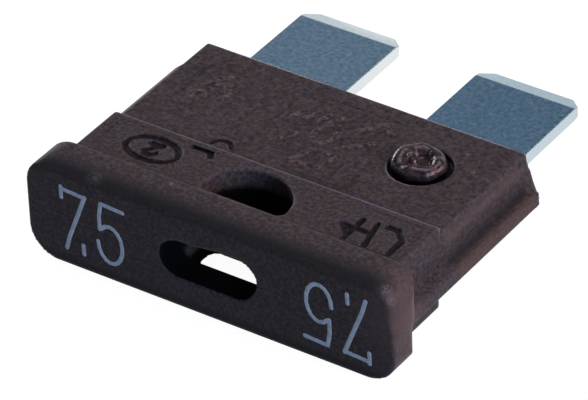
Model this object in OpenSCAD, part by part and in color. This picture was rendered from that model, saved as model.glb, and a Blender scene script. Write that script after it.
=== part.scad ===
// Automotive blade fuse of the regular size, in millimetres.
// One moulded housing and one stamped metal element, lying on the broad face.
// X runs along the head bar, Y from the head bar to the blade tips, Z is up.
// The origin is the middle of the outer box, on the surface the fuse lies on.

/* [Head bar] */
// Width of the head bar across both blades
head_w = 19.1; // [18.6:0.1:22]
// Thickness of the head bar
head_t = 5.1; // [4.8:0.1:6.5]
// Depth of the head bar along the plug-in direction
head_d = 1.9; // [1.7:0.1:2.6]
// Radius of the four corners of the head bar, seen from the front
head_corner_r = 1.4; // [0.8:0.1:2]
// Rounding of the front edge of the head bar
head_front_r = 0.6; // [0.1:0.05:0.75]
// Rounding of the rear edge of the head bar
head_rear_r = 0.35; // [0.1:0.05:0.6]

/* [Neck] */
// Width of the thick neck behind the head bar
neck_w = 16.8; // [15.6:0.1:18]
// Thickness of the neck
neck_t = 4.25; // [3.8:0.05:4.7]
// Length of the neck behind the head bar
neck_l = 3.4; // [3.1:0.1:5]
// Rounding of the long edges and the far edge of the neck
neck_r = 0.25; // [0.1:0.05:0.5]

/* [Body] */
// Width of the end of the body, where the blades come out
body_w = 16.6; // [15.4:0.1:17]
// Thickness of the body
body_t = 3.36; // [3:0.05:3.7]
// Length of the body beyond the neck
body_l = 7.0; // [6.8:0.1:9]
// Rounding of the edges round the end of the body
body_r = 0.3; // [0.1:0.05:0.5]
// Width across the cheeks, the wider run of the body beside the neck
cheek_w = 17.2; // [16.8:0.1:18]
// Length of the plain end of the body that the cheeks leave free
cheek_stop = 1.8; // [1:0.05:2.5]
// Width of the chamfer along each cheek, seen on the broad face
cheek_chamfer_w = 0.45; // [0.2:0.05:0.7]
// Height of the chamfer along each cheek, seen on the narrow side
cheek_chamfer_h = 0.38; // [0.2:0.02:0.6]
// Rounding of the far corners of the cheeks
cheek_r = 0.3; // [0.1:0.05:0.5]

/* [Side rail] */
// Width across the two rails on the narrow sides
rail_w = 18.2; // [17.8:0.1:18.5]
// Thickness of the rails at their outer edge
rail_t = 0.6; // [0.4:0.05:1]
// Thickness of the rails at their root, on the cheeks
rail_root_t = 1.8; // [1.2:0.1:2.2]
// Distance from the end of the rails to the end of the body
rail_stop = 0.15; // [0:0.05:0.8]
// Rounding of the far corners of the rails
rail_r = 0.4; // [0.2:0.05:0.45]

/* [Slot and window] */
// Width of the slot in the front of the head bar
slot_w = 5.0; // [4.8:0.1:6]
// Height of the slot at the front
slot_h = 2.1; // [1.6:0.1:2.6]
// Thickness of the front wall that the slot goes through
front_wall = 1.35; // [1:0.05:1.6]
// Width of the window that goes through the neck
window_w = 4.4; // [3.6:0.1:4.7]
// Length of the window behind the head bar, to its round far side
window_l = 2.75; // [2.2:0.05:2.8]
// Radius of the bowed far side of the window
window_r = 2.75; // [2.4:0.05:4]

/* [Metal element] */
// Distance over the outer edges of both blades
blade_span = 14.6; // [14:0.1:15.2]
// Width of one blade
blade_w = 5.2; // [4.6:0.1:5.4]
// Thickness of the strip that the element is stamped from
blade_t = 0.65; // [0.5:0.05:0.8]
// Length of the blades beyond the end of the body
blade_out = 6.5; // [6:0.05:8]
// Length of the blades inside the body
blade_in = 6.8; // [6:0.1:6.9]
// Chamfer of the tip corners, seen on the broad face
tip_corner = 0.6; // [0.3:0.1:1]
// Length of the coined bevel at the tip
tip_bevel = 0.85; // [0.4:0.05:1.2]
// Thickness left at the edge of the tip
tip_edge = 0.2; // [0.1:0.05:0.3]
// Distance of the fusible link's ends from the end of the body
link_foot = 2.1; // [1.5:0.1:3]
// Radius of the bow of the fusible link, to its middle line
link_bow_r = 1.15; // [0.9:0.05:1.3]
// Length of the straight legs of the fusible link
link_leg = 1.5; // [0.8:0.1:2]
// Width of the fusible link
link_w = 0.5; // [0.3:0.05:0.8]
// Width of the two arms that carry the link
link_arm_w = 0.9; // [0.6:0.1:1.2]
// Thickness of the thinned link
link_t = 0.3; // [0.2:0.05:0.5]

/* [Pocket and stakes] */
// Clearance round the metal element in the housing
pocket_gap = 0.05; // [0.03:0.01:0.1]
// Width of the open chamber round the fusible link
chamber_w = 4.4; // [4.2:0.1:5]
// Height of the chamber
chamber_h = 1.9; // [1.4:0.1:2.2]
// Distance of the stakes from the middle of the fuse
stake_x = 4.9; // [4.4:0.1:5.2]
// Distance of the stakes from the end of the body
stake_back = 3.2; // [2.8:0.1:4]
// Diameter of the sunk ring round a stake
stake_d = 2.9; // [2.6:0.1:3.4]
// Depth of the sunk ring
stake_depth = 0.3; // [0.15:0.05:0.4]
// Diameter of the pin that holds the blade
pin_d = 1.5; // [1.2:0.1:1.8]
// Diameter of the ring of melted plastic, to the middle of its bead
bead_ring_d = 1.6; // [1.4:0.1:1.8]
// Thickness of the melted bead
bead_d = 0.5; // [0.4:0.05:0.6]

/* [Hidden] */
$fn = 64;
eps = 0.01;
// places along the fuse, counted from the front of the head bar
neck_end = head_d + neck_l;
body_end = neck_end + body_l;
tip_end = body_end + blade_out;
blade_start = body_end - blade_in;
stake_y = body_end - stake_back;
link_y = body_end - link_foot;
blade_x = blade_span / 2 - blade_w / 2;
window_end = head_d + window_l;

// Sets the fuse on its resting surface, with the origin in the middle of its outer box
module at_rest() {
    translate([0, -tip_end / 2, head_t / 2]) children();
}

// Rectangle around the origin with round corners
module round_rect(w, h, r) {
    square([w - 2 * r, h], center = true);
    square([w, h - 2 * r], center = true);
    for (sx = [-1, 1], sy = [-1, 1])
        translate([sx * (w / 2 - r), sy * (h / 2 - r)]) circle(r);
}

// Bar with a straight outline in X and Z, running from one Y to another
module along_y(y0, y1) {
    translate([0, y1, 0]) rotate([90, 0, 0]) linear_extrude(y1 - y0) children();
}

// Profile drawn as (Y, Z), run across the fuse over a width
module along_x(w) {
    translate([-w / 2, 0, 0]) rotate([90, 0, 90]) linear_extrude(w) children();
}

// Outline drawn as (X, Y), run through a thickness
module along_z(t) {
    linear_extrude(t, center = true) children();
}

// Half profile of the head bar: reach outward, then depth, with round outer corners
module head_profile(reach) {
    square([reach - head_front_r, head_d - head_rear_r]);
    translate([0, head_front_r]) square([reach, head_d - head_front_r - head_rear_r]);
    translate([0, head_front_r]) square([reach - head_rear_r, head_d - head_front_r]);
    translate([reach - head_front_r, head_front_r]) circle(head_front_r);
    translate([reach - head_rear_r, head_d - head_rear_r]) circle(head_rear_r);
}

// Head bar: straight runs between four turned corners
module head_bar() {
    in_w = head_w - 2 * head_corner_r;
    in_t = head_t - 2 * head_corner_r;
    rotate([-90, 0, 0]) {
        for (a = [0, 180]) rotate(a) {
            translate([-in_w / 2, 0, 0]) rotate([90, 0, 90]) linear_extrude(in_w) head_profile(head_t / 2);
            translate([0, in_t / 2, 0]) rotate([90, 0, 0]) linear_extrude(in_t) head_profile(head_w / 2);
        }
        for (a = [0, 90, 180, 270])
            translate([sign(cos(a) - sin(a)) * in_w / 2, sign(sin(a) + cos(a)) * in_t / 2, 0])
                rotate(a) rotate_extrude(angle = 90) head_profile(head_corner_r);
    }
}

// Block behind the head bar whose far end is rounded on all sides
module tail_block(w, t, y1, r) {
    root = head_d / 2;
    intersection() {
        along_y(root, y1) round_rect(w, t, r);
        along_x(w) translate([y1 / 2, 0]) round_rect(y1, t, r);
        along_z(t) translate([0, y1 / 2]) round_rect(w, y1, r);
    }
}

// Cheeks: the wider run of the body, chamfered along its four long edges
module cheeks() {
    x = cheek_w / 2;
    z = body_t / 2;
    y1 = body_end - cheek_stop;
    intersection() {
        along_y(head_d / 2, y1) polygon([
            for (s = [-1, 1]) each [
                [s * x, -s * (z - cheek_chamfer_h)],
                [s * x, s * (z - cheek_chamfer_h)],
                [s * (x - cheek_chamfer_w), s * z],
                [-s * (x - cheek_chamfer_w), s * z]
            ]
        ]);
        along_z(body_t) translate([0, y1 / 2]) round_rect(cheek_w, y1, cheek_r);
    }
}

// Rails along the narrow sides, on the parting plane, with sloping flanks
module rails() {
    x = rail_w / 2;
    root = body_w / 2 - rail_r;
    y1 = body_end - rail_stop;
    intersection() {
        along_y(head_d / 2, y1) polygon([
            for (s = [-1, 1]) each [
                [s * x, -s * rail_t / 2], [s * x, s * rail_t / 2],
                [s * root, s * rail_root_t / 2], [-s * root, s * rail_root_t / 2]
            ]
        ]);
        along_z(rail_root_t) translate([0, y1 / 2]) round_rect(rail_w, y1, rail_r);
    }
}

// Slot through the front wall, with half-round ends
module slot() {
    along_y(-1, front_wall + 1) round_rect(slot_w, slot_h, slot_h / 2 - eps);
}

// Window through the neck: its near wall slopes back to the slot, its far side is bowed
module window() {
    bow_y = window_end - window_r;
    side_end = bow_y + sqrt(window_r * window_r - window_w * window_w / 4);
    along_x(window_w) polygon([
        [front_wall, -slot_h / 2], [head_d, -neck_t / 2], [side_end, -neck_t / 2],
        [side_end, neck_t / 2], [head_d, neck_t / 2], [front_wall, slot_h / 2]
    ]);
    along_z(neck_t) intersection() {
        translate([0, bow_y]) circle(window_r);
        translate([-window_w / 2, side_end - eps]) square([window_w, window_r]);
    }
}

// Pocket for the flat element, with the chamber round its link, both open at the blade end
module pocket() {
    w = blade_span + 2 * pocket_gap;
    t = blade_t + 2 * pocket_gap;
    y0 = blade_start - pocket_gap;
    translate([-w / 2, y0, -t / 2]) cube([w, body_end - y0 + 1, t]);
    bow_top = link_y - link_leg - link_bow_r - link_w;
    translate([-chamber_w / 2, bow_top, -chamber_h / 2])
        cube([chamber_w, body_end - bow_top + 1, chamber_h]);
}

// Sunk ring left by the staking tool
module stake_sink() {
    translate([0, 0, body_t / 2 - stake_depth]) cylinder(d = stake_d, h = stake_depth + 1);
}

// Melted bead and pin that lock one blade in the housing
module stake_pin() {
    translate([0, 0, -body_t / 2 + stake_depth]) cylinder(d = pin_d, h = body_t - 2 * stake_depth);
    translate([0, 0, body_t / 2 - stake_depth])
        rotate_extrude() translate([bead_ring_d / 2, 0]) circle(d = bead_d);
}

// Puts a stake on the upper face over one blade, and its twin on the lower face over the other
module at_stakes() {
    for (a = [0, 180]) rotate([0, a, 0]) translate([stake_x, stake_y, 0]) children();
}

// Moulded plastic housing
module housing() {
    color("#4a3b38") at_rest() {
        difference() {
            union() {
                head_bar();
                tail_block(neck_w, neck_t, neck_end, neck_r);
                tail_block(body_w, body_t, body_end, body_r);
                cheeks();
                rails();
            }
            slot();
            window();
            pocket();
            at_stakes() stake_sink();
        }
        at_stakes() stake_pin();
    }
}

// Outline of one blade with its tip corners cut off, and the hole for the stake
module blade_outline() {
    difference() {
        polygon([
            [-blade_w / 2, blade_start], [blade_w / 2, blade_start],
            [blade_w / 2, tip_end - tip_corner], [blade_w / 2 - tip_corner, tip_end],
            [-blade_w / 2 + tip_corner, tip_end], [-blade_w / 2, tip_end - tip_corner]
        ]);
        translate([stake_x - blade_x, stake_y]) circle(d = pin_d + 2 * pocket_gap);
    }
}

// Side profile of the strip, coined to a thin edge at the tip
module strip_profile() {
    polygon([
        [blade_start, -blade_t / 2], [tip_end - tip_bevel, -blade_t / 2], [tip_end, -tip_edge / 2],
        [tip_end, tip_edge / 2], [tip_end - tip_bevel, blade_t / 2], [blade_start, blade_t / 2]
    ]);
}

// Bow of the fusible link with its legs and the arms to both blades
module link_outline() {
    bow_y = link_y - link_leg;
    inner = blade_span / 2 - blade_w;
    difference() {
        translate([0, bow_y]) circle(link_bow_r + link_w / 2);
        translate([0, bow_y]) circle(link_bow_r - link_w / 2);
        translate([-blade_span / 2, bow_y]) square([blade_span, blade_span]);
    }
    for (s = [-1, 1]) {
        translate([s * link_bow_r - link_w / 2, bow_y - eps]) square([link_w, link_leg + eps]);
        translate([s > 0 ? link_bow_r - link_w / 2 : -inner - eps, link_y - eps])
            square([inner + eps - link_bow_r + link_w / 2, link_arm_w]);
    }
}

// Stamped metal element: two blades and the thin link that joins them
module fuse_element() {
    color("#8fa2ac") at_rest() {
        intersection() {
            along_z(blade_t) for (s = [0, 1]) mirror([s, 0]) translate([blade_x, 0]) blade_outline();
            along_x(blade_span) strip_profile();
        }
        along_z(link_t) link_outline();
    }
}

housing();
fuse_element();
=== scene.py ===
"""Looks of a regular automotive blade fuse, lying on its broad face, seen from above its head bar.

Lengths are in millimetres while a shape is worked out, counted along X from the middle of the fuse,
along Y from the front of the head bar and along Z from the parting plane. place() turns them into metres.
Materials count in the same way, through working_place().
"""

import math

import bpy
import numpy as np
from mathutils import Matrix, Vector


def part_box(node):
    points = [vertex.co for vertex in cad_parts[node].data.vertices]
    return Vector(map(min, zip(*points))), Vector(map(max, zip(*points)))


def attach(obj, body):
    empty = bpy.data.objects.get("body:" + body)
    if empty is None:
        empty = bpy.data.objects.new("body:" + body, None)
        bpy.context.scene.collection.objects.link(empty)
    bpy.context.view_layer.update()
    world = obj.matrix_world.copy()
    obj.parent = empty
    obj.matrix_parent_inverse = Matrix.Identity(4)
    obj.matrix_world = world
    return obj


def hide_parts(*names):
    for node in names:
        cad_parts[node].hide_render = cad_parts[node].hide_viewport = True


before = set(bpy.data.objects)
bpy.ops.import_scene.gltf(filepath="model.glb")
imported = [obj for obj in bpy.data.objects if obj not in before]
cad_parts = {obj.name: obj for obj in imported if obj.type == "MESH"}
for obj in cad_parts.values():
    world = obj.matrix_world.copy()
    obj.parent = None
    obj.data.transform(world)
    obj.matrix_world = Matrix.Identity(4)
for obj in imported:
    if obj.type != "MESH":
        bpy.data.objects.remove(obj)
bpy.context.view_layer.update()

MM = 0.001
housing_low, housing_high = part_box("housing")
FRONT_Y = housing_low.y
PARTING_Z = (housing_low.z + housing_high.z) / 2


def place(points):
    """Points in millimetres from the head bar's front and the parting plane, as metres in the frame."""
    points = np.asarray(points, float)
    return points * MM + np.array([0.0, FRONT_Y, PARTING_Z])


# Camera: angles in degrees, lengths in millimetres, clipping in metres

CAMERA_AZIMUTH, CAMERA_ELEVATION, CAMERA_ROLL = 35.217, 35.404, -2.256
CAMERA_DISTANCE = 210.991
CAMERA_TARGET = (0.303, 6.107, 0.0)
CAMERA_LENS, SENSOR_WIDTH = 299.04, 36.0
CLIP_NEAR, CLIP_FAR = 0.01, 20.0


def make_camera():
    """Camera at the photograph's angle: a long lens from the front right, well above the fuse."""
    azimuth = math.radians(CAMERA_AZIMUTH)
    elevation = math.radians(CAMERA_ELEVATION)
    roll = math.radians(CAMERA_ROLL)
    back = np.array([
        math.sin(azimuth) * math.cos(elevation),
        -math.cos(azimuth) * math.cos(elevation),
        math.sin(elevation),
    ])
    level_right = np.array([math.cos(azimuth), math.sin(azimuth), 0.0])
    level_up = np.cross(back, level_right)
    right = level_right * math.cos(roll) + level_up * math.sin(roll)
    up = level_up * math.cos(roll) - level_right * math.sin(roll)
    data = bpy.data.cameras.new("photo_camera")
    data.sensor_width = SENSOR_WIDTH
    data.lens = CAMERA_LENS
    data.clip_start = CLIP_NEAR
    data.clip_end = CLIP_FAR
    camera = bpy.data.objects.new("photo_camera", data)
    turn = Matrix([[right[i], up[i], back[i]] for i in range(3)]).to_4x4()
    stand = place(np.array(CAMERA_TARGET) + back * CAMERA_DISTANCE)
    camera.matrix_world = Matrix.Translation(Vector(stand)) @ turn
    bpy.context.scene.collection.objects.link(camera)
    bpy.context.scene.camera = camera


# Distances: each field is negative inside the form and positive outside it

def soft_max(a, b, width):
    """Intersection of two forms whose shared edge is rounded over a width."""
    blend = np.clip(0.5 - 0.5 * (b - a) / width, 0.0, 1.0)
    return b + (a - b) * blend + width * blend * (1.0 - blend)


def soft_min(a, b, width):
    """Union of two forms with a fillet of a width between them."""
    return -soft_max(-a, -b, width)


def round_corner(a, b):
    """Distance past two faces at once, with a round corner where both are passed."""
    outside = np.hypot(np.maximum(a, 0.0), np.maximum(b, 0.0))
    return outside + np.minimum(np.maximum(a, b), 0.0)


def round_rectangle(u, v, half_u, half_v, radius):
    """Rectangle round the origin with round corners."""
    return round_corner(np.abs(u) - half_u + radius, np.abs(v) - half_v + radius) - radius


def soft_prism(outline, along, radius):
    """Form between an outline and a length, with its rim rounded by a radius."""
    return round_corner(outline + radius, along + radius) - radius


def ramp(value, low, high):
    """0 below low, 1 above high, and a smooth rise between them."""
    t = np.clip((value - low) / (high - low), 0.0, 1.0)
    return t * t * (3.0 - 2.0 * t)


# Sizes of the housing, in millimetres

# Head bar, with the rounding of its corners, its ends and its rear edge
HEAD_HALF_W, HEAD_HALF_T, HEAD_D = 9.55, 2.55, 1.9
HEAD_CORNER, HEAD_END_ROUND, HEAD_REAR_EDGE = 1.4, 0.9, 0.2
# Its front edge is soft along the top, and hardly broken below and at the left end
HEAD_TOP_RISE, HEAD_TOP_REACH, HEAD_LOW_EDGE = 0.46, 1.35, 0.05
HEAD_SOFT_HEIGHTS, HEAD_SOFT_LEFT = (-0.8, 0.8), (-9.4, -8.3)
HEAD_LEFT_SHORT = 0.06
# Step to the left of the lower mould half, and the heights below the parting plane over which it comes in
MOULD_STEP = 0.13
STEP_DEPTHS, OPENING_STEP_DEPTHS = (-0.02, 0.1), (-0.4, 0.8)
# Neck and body
NECK_HALF_W, NECK_HALF_T, NECK_END = 8.43, 2.125, 5.3
BODY_HALF_W, BODY_HALF_T, BODY_END = 8.3, 1.68, 12.36
BODY_LEFT_EXTRA, SIDE_DRAFT = 0.13, 0.12
LONG_EDGE, END_EDGE = 0.13, 0.22
NECK_FILLET, HEAD_FILLET = 0.12, 0.18
# Cheeks along the body
WIDE_CHEEK, WIDE_CHEEK_END = 8.82, 10.5
LONG_CHEEK, LONG_CHEEK_END = 8.5, 12.25
CHAMFER_W, CHAMFER_H = 0.45, 0.38
CHEEK_EDGE, CHEEK_END_ROUND = 0.06, 0.3
# Rails beside the parting plane. Their heights are those at the right and turn over at the left
RAIL_HALF_W, RAIL_TOP, RAIL_LOW, RAIL_END, RAIL_SLOPE = 9.14, 0.12, -0.58, 12.0, 0.16
RAIL_ROOT, RAIL_END_ROUND, RAIL_CREST, RAIL_EDGE, RAIL_FILLET = 7.6, 0.12, 0.05, 0.08, 0.25
# Leaning walls that close the rails' far ends
END_WALL_TOP, END_WALL_LOW, END_WALL_START, END_WALL_SLOPE = 0.9, -0.5, 11.7, 0.43
END_WALL_SUNK, END_WALL_FAR_EDGE, END_WALL_SIDE_EDGE, END_WALL_NEAR_EDGE = 0.05, 0.1, 0.14, 0.2
END_WALL_FILLET = 0.16
# Slot through the head bar's front wall, whose upper edge dips at the left
SLOT_HALF_W, SLOT_RADIUS, FRONT_WALL = 2.5, 1.05, 1.35
SLOT_DIP, SLOT_DIP_PLACES, SLOT_DIP_HEIGHTS = 0.2, (-0.9, 1.2), (0.0, 0.8)
# Window through the neck, moved a little to the right in the upper mould half
WINDOW_HALF_W, WINDOW_START, WINDOW_END, WINDOW_BOW = 2.22, 2.43, 4.7, 2.25
WINDOW_SHIFT, WINDOW_SHIFT_HEIGHTS = 0.1, (0.0, 0.3)
WINDOW_CORNER, WINDOW_NEAR_CORNER, OPENING_EDGE = 0.3, 0.35, 0.06
# How far slot and window run past the walls that they cut
SLOT_OVERRUN, WINDOW_OVERRUN = 0.1, 0.12
# Ledge in the window's lower half
LEDGE_END, LEDGE_ABOVE, LEDGE_DEPTHS, LEDGE_CORNER = 3.5, 1.5, (0.2, 0.7), 0.4
# Pocket of the metal element and chamber of its link
POCKET_HALF_W, POCKET_HALF_T, POCKET_START = 7.35, 0.375, 5.45
CHAMBER_HALF_W, CHAMBER_HALF_T, CHAMBER_START = 2.2, 0.95, 7.05
CAVITY_EDGE = 0.05
# Stake over the right blade, and its twin below over the left one
STAKE_X, STAKE_Y, STAKE_RADIUS, STAKE_FLOOR = 4.9, 9.1, 1.45, 1.38
PIN_RADIUS, SINK_EDGE = 0.76, 0.06


def head_bar(x, y, z):
    """Head bar, with a softer front edge along its upper side."""
    outline = round_rectangle(x, z, HEAD_HALF_W, HEAD_HALF_T, HEAD_CORNER)
    rear = soft_prism(outline, y - HEAD_D, HEAD_REAR_EDGE)
    soft = ramp(z, *HEAD_SOFT_HEIGHTS) * ramp(x, *HEAD_SOFT_LEFT)
    rise = HEAD_LOW_EDGE + (HEAD_TOP_RISE - HEAD_LOW_EDGE) * soft
    reach = HEAD_LOW_EDGE + (HEAD_TOP_REACH - HEAD_LOW_EDGE) * soft
    front = round_corner(outline / rise + 1.0, 1.0 - y / reach) - 1.0
    ends = soft_max(np.abs(x) - HEAD_HALF_W, y - HEAD_D, HEAD_END_ROUND)
    return np.maximum(np.maximum(rear, front * rise), ends)


def block(x, y, z, half_w, half_t, end):
    """Block from inside the head bar to an end, with its long edges and its end rounded."""
    start = HEAD_D / 2
    middle = (start + end) / 2
    outline = round_rectangle(x, z, half_w, half_t, LONG_EDGE)
    return soft_prism(outline, np.abs(y - middle) - (end - start) / 2, END_EDGE)


def cheeks(x, y, z):
    """Chamfered side walls of the body. The upper left one is wider and stops short, the others run to the end."""
    upper_left = (x < 0) & (z > 0)
    side = np.abs(x) - np.where(upper_left, WIDE_CHEEK, LONG_CHEEK)
    end = np.where(upper_left, WIDE_CHEEK_END, LONG_CHEEK_END)
    above = np.abs(z) - BODY_HALF_T
    lean = math.hypot(CHAMFER_W, CHAMFER_H)
    chamfer = (side * CHAMFER_H + (above + CHAMFER_H) * CHAMFER_W) / lean
    form = soft_max(soft_max(side, chamfer, CHEEK_EDGE), above, CHEEK_EDGE)
    return np.maximum(soft_max(form, y - end, CHEEK_END_ROUND), HEAD_D / 2 - y)


def rails(x, y, z):
    """Rails beside the parting plane, each with a small leaning wall that closes its far end."""
    across = np.abs(x)
    height = np.where(x > 0, z, -z)
    lean = math.hypot(1.0, RAIL_SLOPE)
    top = (height - RAIL_TOP + RAIL_SLOPE * (across - RAIL_HALF_W)) / lean
    low = (RAIL_LOW - height + RAIL_SLOPE * (across - RAIL_HALF_W)) / lean
    end = soft_max(across - RAIL_HALF_W, y - RAIL_END, RAIL_END_ROUND)
    rail = soft_max(end, soft_max(top, low, RAIL_CREST), RAIL_EDGE)
    wall = across - LONG_CHEEK + END_WALL_SUNK - END_WALL_SLOPE * (END_WALL_TOP - height)
    wall = soft_max(wall, y - LONG_CHEEK_END, END_WALL_FAR_EDGE)
    wall = soft_max(wall, np.maximum(height - END_WALL_TOP, END_WALL_LOW - height), END_WALL_SIDE_EDGE)
    wall = soft_max(wall, END_WALL_START - y, END_WALL_NEAR_EDGE)
    form = np.maximum(soft_min(rail, wall, END_WALL_FILLET), RAIL_ROOT - across)
    return np.maximum(form, HEAD_D / 2 - y)


def slot(x, y, z):
    """Round-ended slot through the front wall of the head bar."""
    past_straight = np.maximum(np.abs(x) - SLOT_HALF_W + SLOT_RADIUS, 0.0)
    dipped_z = z + SLOT_DIP * ramp(-x, *SLOT_DIP_PLACES) * ramp(z, *SLOT_DIP_HEIGHTS)
    behind_wall = y - FRONT_WALL - SLOT_OVERRUN
    return np.maximum(np.hypot(past_straight, dipped_z) - SLOT_RADIUS, behind_wall)


def window(x, y, z):
    """Window right through the neck: a sloping near wall, a bowed far side, and a ledge in its lower half."""
    slope = (WINDOW_START - FRONT_WALL) / (NECK_HALF_T - SLOT_RADIUS)
    near_wall = FRONT_WALL + slope * np.maximum(np.abs(z) - SLOT_RADIUS, 0.0)
    shifted_x = x - WINDOW_SHIFT * ramp(z, *WINDOW_SHIFT_HEIGHTS)
    past_straight = np.maximum(y - WINDOW_END + WINDOW_BOW, 0.0)
    form = soft_max(np.abs(shifted_x) - WINDOW_HALF_W, np.hypot(shifted_x, past_straight) - WINDOW_BOW, WINDOW_CORNER)
    form = soft_max(form, (near_wall - y) / math.hypot(1.0, slope), WINDOW_NEAR_CORNER)
    above_ledge = LEDGE_ABOVE * (1.0 - ramp(-z, *LEDGE_DEPTHS))
    form = soft_max(form, y - LEDGE_END - above_ledge, LEDGE_CORNER)
    return np.maximum(form, np.abs(z) - NECK_HALF_T - WINDOW_OVERRUN)


def cavity(x, y, z):
    """Pocket of the metal element and the chamber round its link, both open at the blade end."""
    pocket = np.maximum(np.abs(x) - POCKET_HALF_W, np.abs(z) - POCKET_HALF_T)
    pocket = np.maximum(pocket, POCKET_START - y)
    chamber = np.maximum(np.abs(x) - CHAMBER_HALF_W, np.abs(z) - CHAMBER_HALF_T)
    chamber = np.maximum(chamber, CHAMBER_START - y)
    return np.minimum(pocket, chamber)


def housing_field(x, y, z):
    """The whole moulding. The lower mould half stood a little to the left of the upper one."""
    moved_x = x + MOULD_STEP * ramp(-z, *STEP_DEPTHS)
    neck = block(moved_x, y, z, NECK_HALF_W, NECK_HALF_T, NECK_END)
    body_half_w = BODY_HALF_W + SIDE_DRAFT * (BODY_HALF_T - np.abs(z)) + np.where(x < 0, BODY_LEFT_EXTRA, 0.0)
    body = block(moved_x, y, z, body_half_w, BODY_HALF_T, BODY_END)
    body = soft_min(np.minimum(body, cheeks(moved_x, y, z)), rails(x, y, z), RAIL_FILLET)
    form = soft_min(neck, body, NECK_FILLET)
    head_x = np.where(x < 0, x - HEAD_LEFT_SHORT, moved_x)
    form = soft_min(form, head_bar(head_x, y, z), HEAD_FILLET)
    opening_x = x + MOULD_STEP * ramp(-z, *OPENING_STEP_DEPTHS)
    openings = np.minimum(slot(opening_x, y, z), window(opening_x, y, z))
    form = soft_max(form, -openings, OPENING_EDGE)
    form = soft_max(form, -cavity(x, y, z), CAVITY_EDGE)
    for side in (1.0, -1.0):
        reach = np.hypot(side * x - STAKE_X, y - STAKE_Y)
        w = side * z
        sink = np.maximum(reach - STAKE_RADIUS, STAKE_FLOOR - w)
        pin = np.maximum(reach - PIN_RADIUS, np.abs(w) - STAKE_FLOOR)
        form = np.minimum(soft_max(form, -sink, SINK_EDGE), pin)
    return form


# Melted plastic of a stake: its ring, a tear in its crater and the foot under them
RING_REACH, RING_RADIUS, RING_RISE, LEFT_LOBE = 0.8, 0.36, 0.34, 0.07
TEAR_RADIUS, TEAR_PLACE = 0.24, (-0.3, -0.1, 0.08)
FOOT_REACH, FOOT_DROP, FOOT_HALF_T, FOOT_SUNK = 0.03, 0.22, 0.3, 0.15
TEAR_FILLET, BEAD_FILLET = 0.06, 0.14
STAKE_SLIP = (-0.06, 0.05)
# Waves round the ring: height, number of waves and where they start
REACH_WAVES = ((0.04, 2, 0.6), (0.03, 3, 2.0))
THICKNESS_WAVES = ((0.035, 3, -0.9), (0.02, 7, 0.0))
LIFT_WAVES = ((0.02, 4, 1.0),)


def waves(angle, rows):
    """Sum of several waves round a ring."""
    return sum(height * np.sin(count * angle + start) for height, count, start in rows)


def stake_field(u, v, w):
    """Melted plastic of a stake. u and v are counted from the stake's middle, w from the parting plane."""
    u, v = u - STAKE_SLIP[0], v - STAKE_SLIP[1]
    angle = np.arctan2(v, u)
    reach = np.hypot(u, v)
    left = LEFT_LOBE * ramp(-u * 0.9 + v * 0.4, -0.1, 0.9)
    ring = RING_REACH + waves(angle, REACH_WAVES)
    level = STAKE_FLOOR + RING_RISE
    lift = left + waves(angle, LIFT_WAVES)
    bead = np.hypot(reach - ring, w - level - lift) - RING_RADIUS - left - waves(angle, THICKNESS_WAVES)
    tear_u, tear_v, tear_w = TEAR_PLACE
    tear = np.sqrt((u - tear_u) ** 2 + (v - tear_v) ** 2 + (w - level - tear_w) ** 2) - TEAR_RADIUS
    foot = np.maximum(reach - ring - FOOT_REACH, np.abs(w - level + FOOT_DROP) - FOOT_HALF_T)
    form = soft_min(bead, soft_min(tear, foot, TEAR_FILLET), BEAD_FILLET)
    return np.maximum(form, STAKE_FLOOR - FOOT_SUNK - w)


# Meshes

def surface_net(field, low, high, step):
    """Points and four-sided faces on the zero level of a field, one point in each cell that it crosses."""
    axes = [np.arange(a, b + step, step) for a, b in zip(low, high)]
    grid = np.meshgrid(*axes, indexing="ij")
    values = field(*grid)
    cells = tuple(n - 1 for n in values.shape)
    total = np.zeros(cells + (3,))
    count = np.zeros(cells)
    crossings = []
    for axis in range(3):
        first = [slice(None)] * 3
        second = [slice(None)] * 3
        first[axis], second[axis] = slice(0, -1), slice(1, None)
        a, b = values[tuple(first)], values[tuple(second)]
        crosses = (a < 0) != (b < 0)
        share = np.where(crosses, a / np.where(crosses, a - b, 1.0), 0.0)
        point = np.stack([g[tuple(first)] for g in grid], axis=-1)
        point[..., axis] += share * step
        point *= crosses[..., None]
        others = [k for k in range(3) if k != axis]
        for shift_a in (0, 1):
            for shift_b in (0, 1):
                part = [slice(None)] * 3
                for other, shift in zip(others, (shift_a, shift_b)):
                    part[other] = slice(shift, shift + cells[other])
                total += point[tuple(part)]
                count += crosses[tuple(part)]
        crossings.append((axis, others, crosses, a < 0))
    used = count > 0
    index = np.full(cells, -1)
    index[used] = np.arange(used.sum())
    points = total[used] / count[used][:, None]
    faces = []
    for axis, others, crosses, starts_inside in crossings:
        where = np.argwhere(crosses)
        inner = (where[:, others[0]] > 0) & (where[:, others[1]] > 0)
        inner &= (where[:, others[0]] < cells[others[0]]) & (where[:, others[1]] < cells[others[1]])
        where = where[inner]
        corners = []
        for shift_a, shift_b in ((0, 0), (1, 0), (1, 1), (0, 1)):
            cell = where.copy()
            cell[:, others[0]] -= shift_a
            cell[:, others[1]] -= shift_b
            corners.append(index[tuple(cell.T)])
        quad = np.stack(corners, axis=1)
        turned = starts_inside[tuple(where.T)] == (axis == 1)
        quad[turned] = quad[turned][:, ::-1]
        faces.append(quad)
    return points, np.concatenate(faces)


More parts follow.
